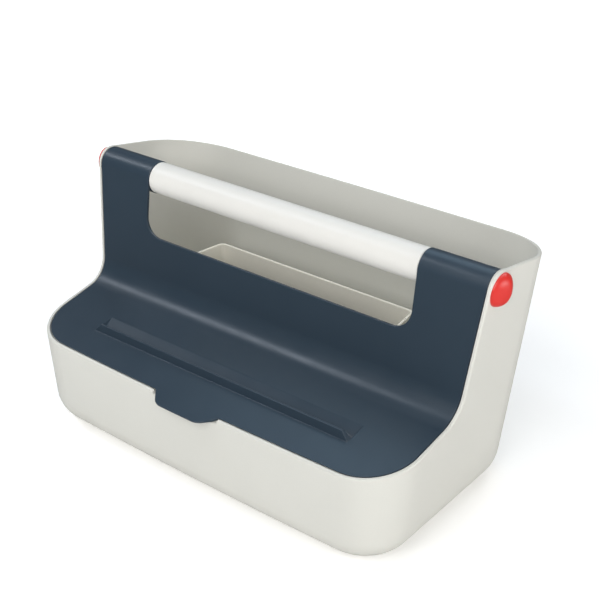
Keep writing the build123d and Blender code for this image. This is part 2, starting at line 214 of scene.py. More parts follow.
def plastic(name, col, rough, grain=0.0, grain_scale=900.0, mottle=0.03, spec=0.5, coat=0.0, coat_rough=0.2,
            sheen=0.0, wave=0.0, sss=0.0):
    """Moulded plastic: a colour that drifts a little over the part, fine spark-eroded grain in the
    bump, slow waviness of the moulded wall, and uneven gloss."""
    m = bpy.data.materials.new(name)
    m.use_nodes = True
    nt = m.node_tree
    nd, ln = nt.nodes, nt.links
    b = nd["Principled BSDF"]
    b.inputs["Specular IOR Level"].default_value = spec
    b.inputs["Coat Weight"].default_value = coat
    b.inputs["Coat Roughness"].default_value = coat_rough
    if sss > 0:
        b.inputs["Subsurface Weight"].default_value = sss
        b.inputs["Subsurface Radius"].default_value = (0.004, 0.0035, 0.0028)
        b.inputs["Subsurface Scale"].default_value = 1.0
    tc = nd.new("ShaderNodeTexCoord")
    slow = nd.new("ShaderNodeTexNoise")
    slow.inputs["Scale"].default_value = 14.0
    slow.inputs["Detail"].default_value = 3.0
    slow.inputs["Roughness"].default_value = 0.55
    ln.new(tc.outputs["Object"], slow.inputs["Vector"])
    ramp = nd.new("ShaderNodeValToRGB")
    lo = tuple(c * (1 - mottle) for c in col[:3]) + (1.0,)
    hi = tuple(min(1.0, c * (1 + mottle)) for c in col[:3]) + (1.0,)
    ramp.color_ramp.elements[0].position, ramp.color_ramp.elements[1].position = 0.3, 0.7
    ramp.color_ramp.elements[0].color, ramp.color_ramp.elements[1].color = lo, hi
    ln.new(slow.outputs["Fac"], ramp.inputs["Fac"])
    fine = nd.new("ShaderNodeTexNoise")
    fine.inputs["Scale"].default_value = grain_scale
    fine.inputs["Detail"].default_value = 2.0
    fine.inputs["Roughness"].default_value = 0.6
    ln.new(tc.outputs["Object"], fine.inputs["Vector"])
    # the grain shows faintly in the colour too
    gr = nd.new("ShaderNodeMapRange")
    gr.inputs["From Min"].default_value, gr.inputs["From Max"].default_value = 0.3, 0.7
    gr.inputs["To Min"].default_value, gr.inputs["To Max"].default_value = 1 - mottle * 0.8, 1 + mottle * 0.4
    ln.new(fine.outputs["Fac"], gr.inputs["Value"])
    mul = nd.new("ShaderNodeMix")
    mul.data_type, mul.blend_type = "RGBA", "MULTIPLY"
    mul.inputs["Factor"].default_value = 1.0
    ln.new(ramp.outputs["Color"], mul.inputs["A"])
    ln.new(gr.outputs["Result"], mul.inputs["B"])
    ln.new(mul.outputs["Result"], b.inputs["Base Color"])
    rr = nd.new("ShaderNodeMapRange")
    rr.inputs["From Min"].default_value, rr.inputs["From Max"].default_value = 0.25, 0.75
    rr.inputs["To Min"].default_value, rr.inputs["To Max"].default_value = rough - 0.04, rough + 0.05
    mid = nd.new("ShaderNodeTexNoise")
    mid.inputs["Scale"].default_value = 55.0
    mid.inputs["Detail"].default_value = 4.0
    ln.new(tc.outputs["Object"], mid.inputs["Vector"])
    ln.new(mid.outputs["Fac"], rr.inputs["Value"])
    ln.new(rr.outputs["Result"], b.inputs["Roughness"])
    if grain > 0 or wave > 0:
        bump = nd.new("ShaderNodeBump")
        bump.inputs["Strength"].default_value = grain
        bump.inputs["Distance"].default_value = 0.0001
        ln.new(fine.outputs["Fac"], bump.inputs["Height"])
        last = bump
        if wave > 0:
            wv = nd.new("ShaderNodeBump")
            wv.inputs["Strength"].default_value = wave
            wv.inputs["Distance"].default_value = 0.0006
            ln.new(slow.outputs["Fac"], wv.inputs["Height"])
            ln.new(bump.outputs["Normal"], wv.inputs["Normal"])
            last = wv
        ln.new(last.outputs["Normal"], b.inputs["Normal"])
    return m


M_TUB = plastic("tub_plastic_satin", srgb(219, 218, 210), 0.42, grain=0.22, mottle=0.012, wave=0.12)
# the divider's colour is the tub's off-white plastic painted lighter and warmer: painted light that makes up for the
# shade it stands in behind the handle and lid, and a painted warm bounce of yellow light
M_DIV = plastic("divider_plastic_satin_painted_light", srgb(242, 238, 224), 0.45, grain=0.22, mottle=0.012, wave=0.1)
M_LID = plastic("lid_plastic_satin", srgb(46, 61, 74), 0.33, spec=0.5, grain=0.22, grain_scale=1100.0, mottle=0.03, wave=0.12)
M_HANDLE = plastic("handle_plastic_satin", srgb(235, 233, 227), 0.36, grain=0.12, mottle=0.01, wave=0.05)
M_CAP = plastic("cap_plastic_gloss", srgb(221, 41, 32), 0.42, grain=0.06, mottle=0.02, spec=0.6, coat=0.25, coat_rough=0.3)
M_FOOT = plastic("foot_rubber", srgb(72, 72, 74), 0.75, grain=0.5, grain_scale=700.0, mottle=0.06, spec=0.3)


def metal(name, col, rough):
    m = bpy.data.materials.new(name)
    m.use_nodes = True
    nd, ln = m.node_tree.nodes, m.node_tree.links
    b = nd["Principled BSDF"]
    b.inputs["Metallic"].default_value = 1.0
    tc = nd.new("ShaderNodeTexCoord")
    n = nd.new("ShaderNodeTexNoise")
    n.inputs["Scale"].default_value = 260.0
    n.inputs["Detail"].default_value = 5.0
    ln.new(tc.outputs["Object"], n.inputs["Vector"])
    r = nd.new("ShaderNodeValToRGB")
    r.color_ramp.elements[0].color = tuple(c * 0.85 for c in col[:3]) + (1,)
    r.color_ramp.elements[1].color = col
    ln.new(n.outputs["Fac"], r.inputs["Fac"])
    ln.new(r.outputs["Color"], b.inputs["Base Color"])
    mr = nd.new("ShaderNodeMapRange")
    mr.inputs["To Min"].default_value, mr.inputs["To Max"].default_value = rough - 0.06, rough + 0.08
    ln.new(n.outputs["Fac"], mr.inputs["Value"])
    ln.new(mr.outputs["Result"], b.inputs["Roughness"])
    return m


M_ZINC = metal("zinc_steel", (0.62, 0.63, 0.65, 1), 0.36)

# ---- tub -------------------------------------------------------------------------------------
RIM_R = 1.45             # rounding of the rim's outer edge
RIM_I = 0.55             # and of its inner edge
NOTCH = 2.9              # the notch for the pull tab, below the rim
NOTCH_X = 30.9


def notch_drop(x):
    """How far the front rim is lowered at x, for the tab."""
    d = abs(x) - NOTCH_X
    r = 0.95
    t = min(1.0, max(0.0, (d + r) / (2 * r)))
    return NOTCH * (1 - t * t * (3 - 2 * t))


def columns():
    """The tub's columns on the right half: (key, profile arc length or None)."""
    cols = []
    # front bow with extra columns at the notch's side
    xs = list(np.linspace(0, NOTCH_X - 1.4, 10)) + list(np.linspace(NOTCH_X - 1.1, NOTCH_X + 1.1, 19)) + list(np.linspace(NOTCH_X + 1.5, 144, 26))
    a, rf, rr, Rf, Rr, cf, cr, ycf, ycr, gf, gr = plan(76.0)
    xt = Rf * cos(gf)
    span = gf + pi / 2
    for x in xs:
        if x < xt - 1.5:
            cols.append(((0, (math.asin(x / Rf)) / span), None))
    cols.append(((0, 1.0), None))
    for v in np.linspace(0, 1, 40)[1:]:
        cols.append(((1, float(v)), None))
    for v in (0.5,):
        cols.append(((2, v), None))
    # straight side: by arc length of the rim profile between YS0 and YS1
    s0 = (YS0 - RIM.p1[0]) / RIM.d1[0]
    ss = list(np.arange(s0, RIM.l1, 2.2)) + list(np.linspace(RIM.l1, RIM.l2, 27)) + \
        list(np.linspace(RIM.l2, RIM.l3, 28))[1:] + list(np.linspace(RIM.l3, S_E, 30))[1:]
    for s in ss:
        cols.append(((3, None), float(s)))
    for y in np.linspace(Y_E, YS1, 12)[1:]:
        cols.append(((3, float(y)), None))
    cols.append(((4, 0.5), None))
    for v in np.linspace(0, 1, 44):
        cols.append(((5, float(v)), None))
    for v in np.linspace(0, 1, 50)[1:]:
        cols.append(((6, float(v)), None))
    return cols


COLS = columns()


def slope_of(key):
    part, v = key
    return (KF, KF + (KA - KF) * (v or 0), KA, KA, KA, KA + (KB - KA) * (v or 0), KB)[part]


def rim_height(key, inset=0.0):
    """Height of the rim on a column that follows the plan."""
    z = 120.0 if key[0] > 3 else 78.0
    for _ in range(12):
        x, y = at(key, z, inset)
        if y > Y_E:
            zn = rear_z(y)
        else:
            zn = plane_z(y, OVER)
        z = zn
    return z


def place(col, h, inset):
    """Point at height h (negative is down) against the rim on a column, moved in by inset."""
    key, s = col
    if s is not None:
        y, z, ny, nz = RIM.at(s)
        y, z = y + ny * h, z + nz * h
        x = half(z) - inset
        return x, y, z
    z0 = rim_height(key, 0.0)
    if key[0] == 0:
        x, _ = at(key, z0, 0.0)
        z0 -= notch_drop(x)
    z = z0 + h
    x, y = at(key, z, inset)
    # the rim is cut by a profile that runs across the wall, so it tilts with the slope
    if inset > 0:
        y0 = at(key, z, 0.0)[1]
        z += (tan(AL) if y < Y_E else -(tan(GA) + 2 * SAG * (y - Y_E) / 90.9 ** 2)) * (y - y0)
    return x, y, z


def rounded(key, z_wall_top, inset, r, floor, n=15):
    """Rows from the bottom centre ring up to the wall's foot, for the base radius."""
    k = slope_of(key)
    zc = floor + r
    rows = []
    psi0 = atan2(k, 1)
    for psi in np.linspace(pi / 2, psi0, n):
        z = zc - r * sin(psi)
        i = r * sqrt(1 + k * k) + k * (z - zc) - r * cos(psi)
        x, y = at(key, z, inset + i)
        rows.append((x, y, z))
    return rows


def tub_half():
    arc = np.linspace(0, pi / 2, 6)
    out_rows, in_rows = [], []
    for col in COLS:
        key, s = col
        if s is not None:      # its column key for the base: y of the wall's top
            y, z, ny, nz = RIM.at(s)
            key = (3, y - ny * RIM_R)
        rows = []
        # outer: base radius, wall, rim
        rows += rounded(key, 0, 0.0, RB, BASE)
        zb = rows[-1][2]
        top = place(col, -RIM_R, 0.0)
        sup = place(col, -RIM_R - 0.5, 0.0) if s is None else (half(top[2] - 0.5), top[1], top[2] - 0.5)
        ztop = sup[2]
        for f in np.linspace(0, 1, 20)[1:-1]:
            z = zb + (ztop - zb) * f
            x, y = at(key, z, 0.0)
            rows.append((x, y, z))
        rows.append(sup)
        for t in arc:
            rows.append(place(col, -RIM_R * (1 - sin(t)), RIM_R * (1 - cos(t))))
        # inner: rim, wall, base radius
        for t in arc[::-1]:
            rows.append(place(col, -RIM_I * (1 - sin(t)), WALL - RIM_I * (1 - cos(t))))
        rb = rounded(key, 0, WALL, RB - WALL, BASE + FLOOR)[::-1]
        top = place(col, -RIM_I - 0.5, WALL) if s is None else (half(rows[-1][2] - 0.5) - WALL, rows[-1][1], rows[-1][2] - 0.5)
        rows.append(top)
        for f in np.linspace(1, 0, 46)[1:-1]:
            z = rb[0][2] + (top[2] - rb[0][2]) * f
            x, y = at(key, z, WALL)
            rows.append((x, y, z))
        rows += rb
        out_rows.append(rows)
    P = np.array(out_rows)
    # the flat pocket round the hinge, where the arm's end turns
    n_in = 15 + 18 + 1 + len(arc)
    Y, Z = P[:, n_in:, 1], P[:, n_in:, 2]
    R = np.sqrt((Y - YH) ** 2 + (Z - ZH) ** 2)
    w = np.clip((R - 13.35) / 1.3, 0, 1)
    w = w * w * (3 - 2 * w)
    side = np.isclose(P[:, n_in:, 0], half(P[:, n_in:, 2]) - WALL, atol=1.2) & (R < 15)
    X = P[:, n_in:, 0]
    P[:, n_in:, 0] = np.where(side, X * w + np.minimum(X, POCKET) * (1 - w), X)
    return P


def tub():
    b = Build()
    P = tub_half()
    Q = P[::-1].copy()
    Q[:, :, 0] *= -1
    full = np.concatenate([P, Q[1:-1]], 0)       # the two centre columns are shared
    nu, nv = full.shape[:2]
    base = b.grid(full, close_u=True)
    # flat bottom and floor
    b.f.append(tuple(base + i * nv for i in range(nu))[::-1])
    b.f.append(tuple(base + i * nv + nv - 1 for i in range(nu)))
    b.m += [0, 0]
    # ledge inside the front rim that carries the lid
    ks = []
    a, rf, rr, Rf, Rr, cf, cr, ycf, ycr, gf, gr = plan(72.0)
    for v in np.linspace(0, 1, 22): ks.append((0, float(v)))
    for v in np.linspace(0, 1, 26)[1:]: ks.append((1, float(v)))
    rows = []
    for k in ks:
        ring = []
        for i, h in ((WALL - 0.25, -2.7), (WALL + 0.4, -2.7), (6.9, -2.7), (7.25, -2.85), (7.4, -3.2), (7.4, -5.4), (6.9, -5.9), (WALL - 0.25, -9.5)):
            z = 74.0
            for _ in range(6):
                x, y = at(k, z, i)
                z = plane_z(y) + h / cos(AL)
            ring.append((x, y, z))
        rows.append(ring)
    L = np.array(rows)
    M = L[::-1].copy(); M[:, :, 0] *= -1
    L = np.concatenate([M, L[1:]], 0)
    bb, n = b.grid(L, close_v=True, flip=False), L.shape[1]
    for row, fwd in ((0, True), (L.shape[0] - 1, False)):            # the ledge's two ends
        b.f.append(tuple(bb + row * n + i for i in (range(n) if fwd else reversed(range(n)))))
        b.m.append(0)
    # channels for the divider's ends
    for s in (1, -1):
        for y0 in (9.95, 14.25):
            sec = []
            for z in list(np.linspace(9.0, 104.5, 24)) + [106.0, 107.0, 107.6, 107.95]:
                xi = half(60) - WALL - 3.2
                xo = half(z) - WALL + 0.4
                if z < BASE + RB:
                    dz = BASE + RB - z
                    xo = half(BASE + RB) - RB + sqrt(max(0.0, (RB - 1.0) ** 2 - dz ** 2)) - 0.6
                g = 0.45
                top = max(0.0, (z - 106.0) / 2.0)
                q = top * top * 1.4
                xi += q
                pts = [(xo, y0), (xi + g, y0), (xi + 0.13, y0 + 0.13), (xi, y0 + g), (xi, y0 + 1.8 - g), (xi + 0.13, y0 + 1.8 - 0.13),
                       (xi + g, y0 + 1.8), (xo, y0 + 1.8)]
                sec.append([(s * max(px, 0) if px < xo else s * xo, py, z) for px, py in pts])
            S = np.array(sec)
            bb = b.grid(S, close_v=True, flip=(s < 0))
            n = S.shape[1]
            for row, fwd in ((S.shape[0] - 1, s < 0), (0, s > 0)):      # top and foot
                b.f.append(tuple(bb + row * n + i for i in (range(n) if fwd else reversed(range(n)))))
                b.m.append(0)
    return b.make("tub", [M_TUB], "box", ["box_shell"])


tub_ob = tub()

# ---- lid -------------------------------------------------------------------------------------
SLOT_X, SB, SF, SD = 122.5, (-50.0 - FY) / cos(AL), (-64.5 - FY) / cos(AL), 3.6
LIP_H, LIP_X, LIP_FOOT = 5.8, 117.0, (-73.2 - FY) / cos(AL)
CUT_Z, CUT_R = 140.2, 15.0
TAB_ROOT, TAB_TIP, TAB_Y, TAB_R = 30.1, 20.6, -107.0, 12.0
S_END = LID.l3 + RA * (BE + pi / 2 + radians(22))    # the arm's end, below and behind the pin
SHEAR = 0.98


def lid_point(x, s, n):
    """Point on the lid's development moved n along its normal; the front part leans the way the
    lid's edge leaves the tub."""
    y, z, ny, nz = LID.at(s)
    sh = 0.0
    if y < -60:
        sh = SHEAR * min(1.0, (-60 - y) / 8.0) * max(0.0, -n)
        if s < 3.5:      # the tab hangs free ahead of the wall
            sh *= max(0.0, s / 3.5)
    return x, y + ny * n + sh, z + nz * n


def lid_normal(s):
    y, z, ny, nz = LID.at(s)
    return (0.0, ny, nz)


def s_of_z(z):
    """Arc length of the upright part at height z."""
    return LID.l2 + (z - LID.t2[1]) / LID.d2[1]


def lid_edge(key):
    """(x, s) of the lid's outline on a plan key, on the shelf."""
    z = 78.0
    for _ in range(8):
        x, y = at(key, z, EDGE)
        z = plane_z(y)
    return x, (y - FY) / cos(AL)


def fillet(p, c, q, r, n=8):
    """Points that round the corner c between p and q with radius r."""
    p, c, q = map(np.array, (p, c, q))
    u, v = (p - c) / np.linalg.norm(p - c), (q - c) / np.linalg.norm(q - c)
    ang = math.acos(np.clip(u @ v, -1, 1))
    t = r / tan(ang / 2)
    a, b = c + u * t, c + v * t
    m = (u + v) / np.linalg.norm(u + v)
    o = c + m * (r / sin(ang / 2))
    a0, b0 = atan2(*(a - o)[::-1]), atan2(*(b - o)[::-1])
    d = (b0 - a0 + pi) % (2 * pi) - pi
    return [tuple(o + r * np.array((cos(a0 + d * f), sin(a0 + d * f)))) for f in np.linspace(0, 1, n)]


def lid_outline():
    """Right half of the lid's outline in its development, from the tab's tip round to the middle
    of the hand cut-out."""
    pts = []
    st, sr = (TAB_Y - FY) / cos(AL), (-96.0 - FY) / cos(AL)
    tip = (TAB_TIP, st)
    root = (TAB_ROOT, sr)
    k0 = lid_edge((0, 0.0))[1]
    # where the tab's side meets the front edge
    a, rf, rr, Rf, Rr, cf, cr, ycf, ycr, gf, gr = plan(76.0, EDGE)
    span = gf + pi / 2
    def edge_at(x): return lid_edge((0, math.asin(x / Rf) / span))
    jx = TAB_ROOT + (edge_at(TAB_ROOT)[1] - sr) * (TAB_ROOT - TAB_TIP) / (sr - st)
    join = (jx, edge_at(jx)[1])
    for x in np.linspace(0, TAB_TIP - 6.4, 8): pts.append((x, st))
    pts += fillet((0, st), tip, join, TAB_R, 18)
    last = np.array(pts[-1])
    f = fillet(tip, join, (jx + 30, edge_at(jx + 30)[1]), 1.0, 7)
    for t in np.linspace(0, 1, 7)[1:-1]: pts.append(tuple(last + (np.array(f[0]) - last) * t))
    pts += f
    xs = np.linspace(f[-1][0] + 0.8, Rf * cos(gf) - 1.0, 44)
    for x in xs: pts.append(edge_at(x))
    for v in np.linspace(0, 1, 44): pts.append(lid_edge((1, float(v))))
    s0 = (YS0 - FY) / cos(AL)
    ss = [s0] + list(np.linspace(s0, LID.l1, 16))[1:] + list(np.linspace(LID.l1, LID.l2, 26))[1:] + \
        list(np.linspace(LID.l2, LID.l3, 46))[1:] + list(np.linspace(LID.l3, S_END - 1.2, 52))[1:]
    for s in ss:
        y, z, _, _ = LID.at(s)
        x = half(z) - EDGE
        if s > LID.l3:
            x = min(x, POCKET - 0.3)
        pts.append((x, s))
    xo = pts[-1][0]
    pts += fillet((xo, S_END - 5), (xo, S_END), (ARM, S_END), 1.0, 5)[1:]
    for x in np.linspace(xo - 2, ARM + 2, 14): pts.append((x, S_END))
    pts += fillet((xo, S_END), (ARM, S_END), (ARM, S_END - 5), 1.0, 5)
    sc = s_of_z(CUT_Z + CUT_R)
    for s in list(np.linspace(S_END - 1.6, LID.l3, 50)) + list(np.linspace(LID.l3, sc, 22))[1:]:
        pts.append((ARM, s))
    for t in np.linspace(0, pi / 2, 16)[1:]:
        x, z = ARM - CUT_R + CUT_R * cos(t), CUT_Z + CUT_R - CUT_R * sin(t)
        pts.append((x, s_of_z(z)))
    for x in np.linspace(ARM - CUT_R, 0, 34)[1:]: pts.append((x, s_of_z(CUT_Z)))
    return pts


def offset_loop(L, d):
    """Closed loop moved to its inside by d; L runs anticlockwise."""
    L = np.asarray(L)
    nx = np.roll(L, -1, 0) - np.roll(L, 1, 0)
    # weights keep the direction right where the spacing changes
    e1, e0 = np.roll(L, -1, 0) - L, L - np.roll(L, 1, 0)
    l1, l0 = np.linalg.norm(e1, axis=1, keepdims=True), np.linalg.norm(e0, axis=1, keepdims=True)
    t = e1 / l1 + e0 / l0
    t /= np.linalg.norm(t, axis=1, keepdims=True)
    nrm = np.stack([-t[:, 1], t[:, 0]], 1)
    # mitre
    c = np.sum((e1 / l1) * t, axis=1, keepdims=True)
    return L + nrm * d / np.clip(c, 0.5, 1), nrm


def fill(loop, holes, inner):
    """Triangles of the plane region inside loop and outside holes, with inner points."""
    P = [Vector(p) for p in loop]
    E = [(i, (i + 1) % len(loop)) for i in range(len(loop))]
    for h in holes:
        b0 = len(P)
        P += [Vector(p) for p in h]
        E += [(b0 + i, b0 + (i + 1) % len(h)) for i in range(len(h))]
    P += [Vector(p) for p in inner]
    V, _, F, ov, _, _ = delaunay_2d_cdt(P, E, [], 0, 1e-6)
    V = np.array([v[:] for v in V])
    # keep the triangles whose middle is inside
    def inside(pt, poly):
        x, y = pt[:, 0:1], pt[:, 1:2]
        q = np.asarray(poly); r = np.roll(q, -1, 0)
        hit = ((q[:, 1] > y) != (r[:, 1] > y)) & (x < (r[:, 0] - q[:, 0]) * (y - q[:, 1]) / (r[:, 1] - q[:, 1] + 1e-30) + q[:, 0])
        return hit.sum(1) % 2 == 1
    C = np.array([V[list(f)].mean(0) for f in F])
    keep = inside(C, loop)
    for h in holes:
        keep &= ~inside(C, h)
    return V, [f for f, k in zip(F, keep) if k]


def tab_n(s):
    """Height of the lid's underside: the tab thins towards its tip."""
    if s >= 3.0: return -LT
    return -LT + (LT - 1.15) * min(1.0, (3.0 - s) / 9.0)


def lid():
    b = Build()
    R = lid_outline()
    right = [p for p in R]
    left = [(-x, s) for x, s in R[::-1] if x > 1e-6]
    # anticlockwise: from the tip to the right, up the right side, back along the cut-out
    L = np.array(right + left)
    keep = [0]
    for i in range(1, len(L)):
        if np.linalg.norm(L[i] - L[keep[-1]]) > 0.02: keep.append(i)
    L = L[keep]
    rt, rb = 0.6, 0.5
    rings, nn = [], []
    for t in np.linspace(pi / 2, 0, 6):
        M, nrm = offset_loop(L, rt * (1 - cos(t)))
        rings.append([lid_point(x, s, -rt * (1 - sin(t))) for x, s in M])
        nn.append([(-cos(t) * nx_, cos(t) * -ns_ * 0 + 0, 0) for nx_, ns_ in nrm])
        nr = []
        for (x, s), (nx_, ns_) in zip(M, nrm):
            y, z, ny, nz = LID.at(s)
            ty, tz = nz, -ny          # direction of growing s in YZ
            nr.append((-nx_ * cos(t), -ns_ * cos(t) * ty + ny * sin(t), -ns_ * cos(t) * tz + nz * sin(t)))
        nn[-1] = nr
    top_loop, _ = offset_loop(L, rt)
    for t in np.linspace(0, pi / 2, 5):
        M, nrm = offset_loop(L, rb * (1 - cos(t)))
        rings.append([lid_point(x, s, tab_n(s) + rb * (1 - sin(t))) for x, s in M])
        nr = []
        for (x, s), (nx_, ns_) in zip(M, nrm):
            y, z, ny, nz = LID.at(s)
            ty, tz = nz, -ny
            nr.append((-nx_ * cos(t), -ns_ * cos(t) * ty - ny * sin(t), -ns_ * cos(t) * tz - nz * sin(t)))
        nn.append(nr)
    bot_loop, _ = offset_loop(L, rb)
    b.grid(np.array(rings), close_v=True, normals=np.array(nn))

    # points inside the sheet, so that it follows the bends
    def inner_points(hole):
        pts = []
        srows = list(np.arange(4, LID.l1, 6.0)) + list(np.linspace(LID.l1, LID.l2, 26)) + list(np.linspace(LID.l2, LID.l3, 14))[1:] + \
            list(np.linspace(LID.l3, S_END - 1.6, 46))[1:]
        poly = np.array(bot_loop)
        for s in srows:
            y, z, _, _ = LID.at(s)
            xe = min(half(z) - EDGE, POCKET - 0.3) - 2.0
            xs = np.linspace(-xe, xe, 45)
            for x in xs:
                if s > s_of_z(CUT_Z) - 1.5 and abs(x) < ARM + 1.6: continue
                if hole[0] - 1 < s < hole[1] + 1 and abs(x) < hole[2] + 1: continue
                if s < 40 and not in_loop((x, s), poly, 2.0): continue
                pts.append((x, s))
        for s in srows:      # rows just inside the arms' long edges keep the bend round the pin even
            if s > s_of_z(CUT_Z) + CUT_R + 2:
                for x in (ARM + 1.7, 150.0):
                    pts += [(x, s), (-x, s)]
        return pts

    def in_loop(p, poly, d):
        x, y = p
        for dx, dy in ((d, 0), (-d, 0), (0, d), (0, -d)):
            q, r = poly, np.roll(poly, -1, 0)
            hit = ((q[:, 1] > y + dy) != (r[:, 1] > y + dy)) & (x + dx < (r[:, 0] - q[:, 0]) * (y + dy - q[:, 1]) / (r[:, 1] - q[:, 1] + 1e-30) + q[:, 0])
            if hit.sum() % 2 == 0: return False
        return True

    # top, with the hole that the slot and lip fill
    hx = SLOT_X + 0.5
    h0, h1 = LIP_FOOT - 0.2, SB + 0.3
    nx_st = [-hx, -SLOT_X - 0.12, -SLOT_X, -SLOT_X + 0.15] + list(np.linspace(-SLOT_X + 0.4, -LIP_X - 0.3, 14)) + list(np.linspace(-LIP_X, LIP_X, 60)) + \
        list(np.linspace(LIP_X + 0.3, SLOT_X - 0.4, 14)) + [SLOT_X - 0.15, SLOT_X, SLOT_X + 0.12, hx]
    sec = slot_section()
    svals = [p[0] for p in sec]
    hole = [(x, h0) for x in nx_st] + [(hx, s) for s in sorted(set(round(v, 6) for v in svals)) if h0 + 0.01 < s < h1 - 0.01] + \
        [(x, h1) for x in nx_st[::-1]] + [(-hx, s) for s in sorted(set(round(v, 6) for v in svals), reverse=True) if h0 + 0.01 < s < h1 - 0.01]
    V, F = fill(top_loop, [hole], inner_points((h0, h1, hx)))
    b.add([lid_point(x, s, 0.0) for x, s in V], F, [lid_normal(s) for x, s in V])
    # slot and lip: the section swept along X, its ends closed
    G, GN = [], []
    for x in nx_st:
        ax = abs(x)
        clip = (LIP_H + 0.2) * (SLOT_X + 0.4 - ax) / (SLOT_X + 0.4 - LIP_X)
        row = []
        for s, n in sec:
            if ax > SLOT_X - 1e-6:
                n2 = 0.0 if ax > SLOT_X + 0.05 or n > 0 else n + 0.12
                if ax <= SLOT_X + 0.05 and n < 0: n2 = n if ax < SLOT_X + 1e-6 else 0.0
                n = min(0.0, n2) if n < 0 else 0.0
            elif n > 0:
                k = 0.35
                d = clip - n
                n = min(n, clip) if abs(d) > k else min(n, clip) - (k - abs(d)) ** 2 / (4 * k)
                n = max(0.0, n)
            row.append(lid_point(x, s, n))
        G.append(row)
    b.grid(np.array(G), flip=False)
    # underside, with the hollow rib under the slot
    ux = SLOT_X + 2.4
    u0, u1 = (-69.3 - FY) / cos(AL), (-45.8 - FY) / cos(AL)
    usec = [(u0, -LT), (u0 + 0.3, -LT), ((-67.5 - FY) / cos(AL), -5.7), ((-67.1 - FY) / cos(AL), -6.0), ((-64.8 - FY) / cos(AL), -6.0), ((-64.0 - FY) / cos(AL), -5.85),
            ((-55.0 - FY) / cos(AL), -3.95), (u1 - 0.3, -LT), (u1, -LT)]
    uxs = [-ux - 0.5, -ux, -ux + 0.4] + list(np.linspace(-ux + 3, ux - 3, 30)) + [ux - 0.4, ux, ux + 0.5]
    uh = [(x, u0) for x in uxs] + [(ux + 0.5, p[0]) for p in usec[1:-1]] + [(x, u1) for x in uxs[::-1]] + [(-ux - 0.5, p[0]) for p in usec[1:-1][::-1]]
    V, F = fill(bot_loop, [uh], inner_points((u0, u1, ux + 0.5)))
    b.add([lid_point(x, s, tab_n(s)) for x, s in V], [f[::-1] for f in F], [tuple(-c for c in lid_normal(s)) for x, s in V])
    G = []
    for x in uxs:
        e = 0.0 if abs(x) >= ux else (0.85 if abs(x) > ux - 1 else 1.0)
        G.append([lid_point(x, s, -LT + (n + LT) * e) for s, n in usec])
    b.grid(np.array(G), flip=True)
    # the lower half of each hook round the pin
    for sg in (1, -1):
        x0, x1 = sg * (ARM + 0.02), sg * (POCKET - 0.32)
        a0, a1 = radians(176), radians(282)
        ri, ro = 10.58, 12.98
        ring = [(x0 + sg * 0.5, ro), (x1 - sg * 0.5, ro), (x1 - sg * 0.12, ro - 0.12), (x1, ro - 0.5), (x1, ri + 0.4), (x1 - sg * 0.3, ri), (x0 + sg * 0.3, ri), (x0, ri + 0.4),
                (x0, ro - 0.5), (x0 + sg * 0.12, ro - 0.12)]
        S = []
        for t in np.linspace(a0, a1, 40):
            S.append([(x, YH + r * cos(t), ZH + r * sin(t)) for x, r in ring])
        S = np.array(S)
        bb = b.grid(S, close_v=True, flip=(sg < 0))
        n = len(ring)
        for row, fwd in ((len(S) - 1, sg < 0), (0, sg > 0)):
            b.f.append(tuple(bb + row * n + i for i in (range(n) if fwd else reversed(range(n)))))
            b.m.append(0)
    return b.make("lid_piece", [M_LID], "lid", ["lid"])


def slot_section():
    """The slot's and lip's cross-section as (s, n), from the lip's front foot to the slot's back."""
    sec = [(LIP_FOOT - 0.2, 0.0)]
    # steep front between a narrow foot fillet and a narrow crest
    foot, crest = (SF - 4.1, 0.0), (SF - 1.6, LIP_H)
    f1, f2 = fillet(sec[0], foot, crest, 0.8, 7), fillet(foot, crest, (SF, LIP_H), 0.6, 7)
    sec += f1
    for t in np.linspace(0, 1, 10)[1:-1]:
        sec.append((f1[-1][0] + (f2[0][0] - f1[-1][0]) * t, f1[-1][1] + (f2[0][1] - f1[-1][1]) * t))
    sec += f2 + fillet(crest, (SF, LIP_H), (SF, 0.0), 0.5, 7)
    for n in (3.2, 2.0, 0.9, 0.05): sec.append((SF, n))
    for n in (-0.8, -2.0, -3.0, -3.35): sec.append((SF, n))
    sec += [(SF + 0.12, -3.5), (SF + 0.4, -3.5)]
    # the ramp behind the slot runs out into the shelf
    for f in (0.06, 0.12, 0.2, 0.3, 0.4, 0.5, 0.6, 0.7, 0.8, 0.9): sec.append((SF + (SB - SF) * f, -SD * (1 - f) ** 1.1))
    sec += [(SB - 0.35, -0.004), (SB, 0.0), (SB + 0.3, 0.0)]
    return sec


lid_ob = lid()

# ---- handle tube -----------------------------------------------------------------------------
def revolve(b, prof, axis_y, axis_z, n=96, side=1, tilt=None, mat=0, close=False):
    """prof = [(x, r)], turned about the handle's axis."""
    P = []
    for k in range(n):
        t = 2 * pi * k / n
        P.append([(x, axis_y + r * cos(t), axis_z + r * sin(t)) for x, r in prof])
    b.grid(np.array(P), close_u=True, flip=(side < 0), mat=mat)


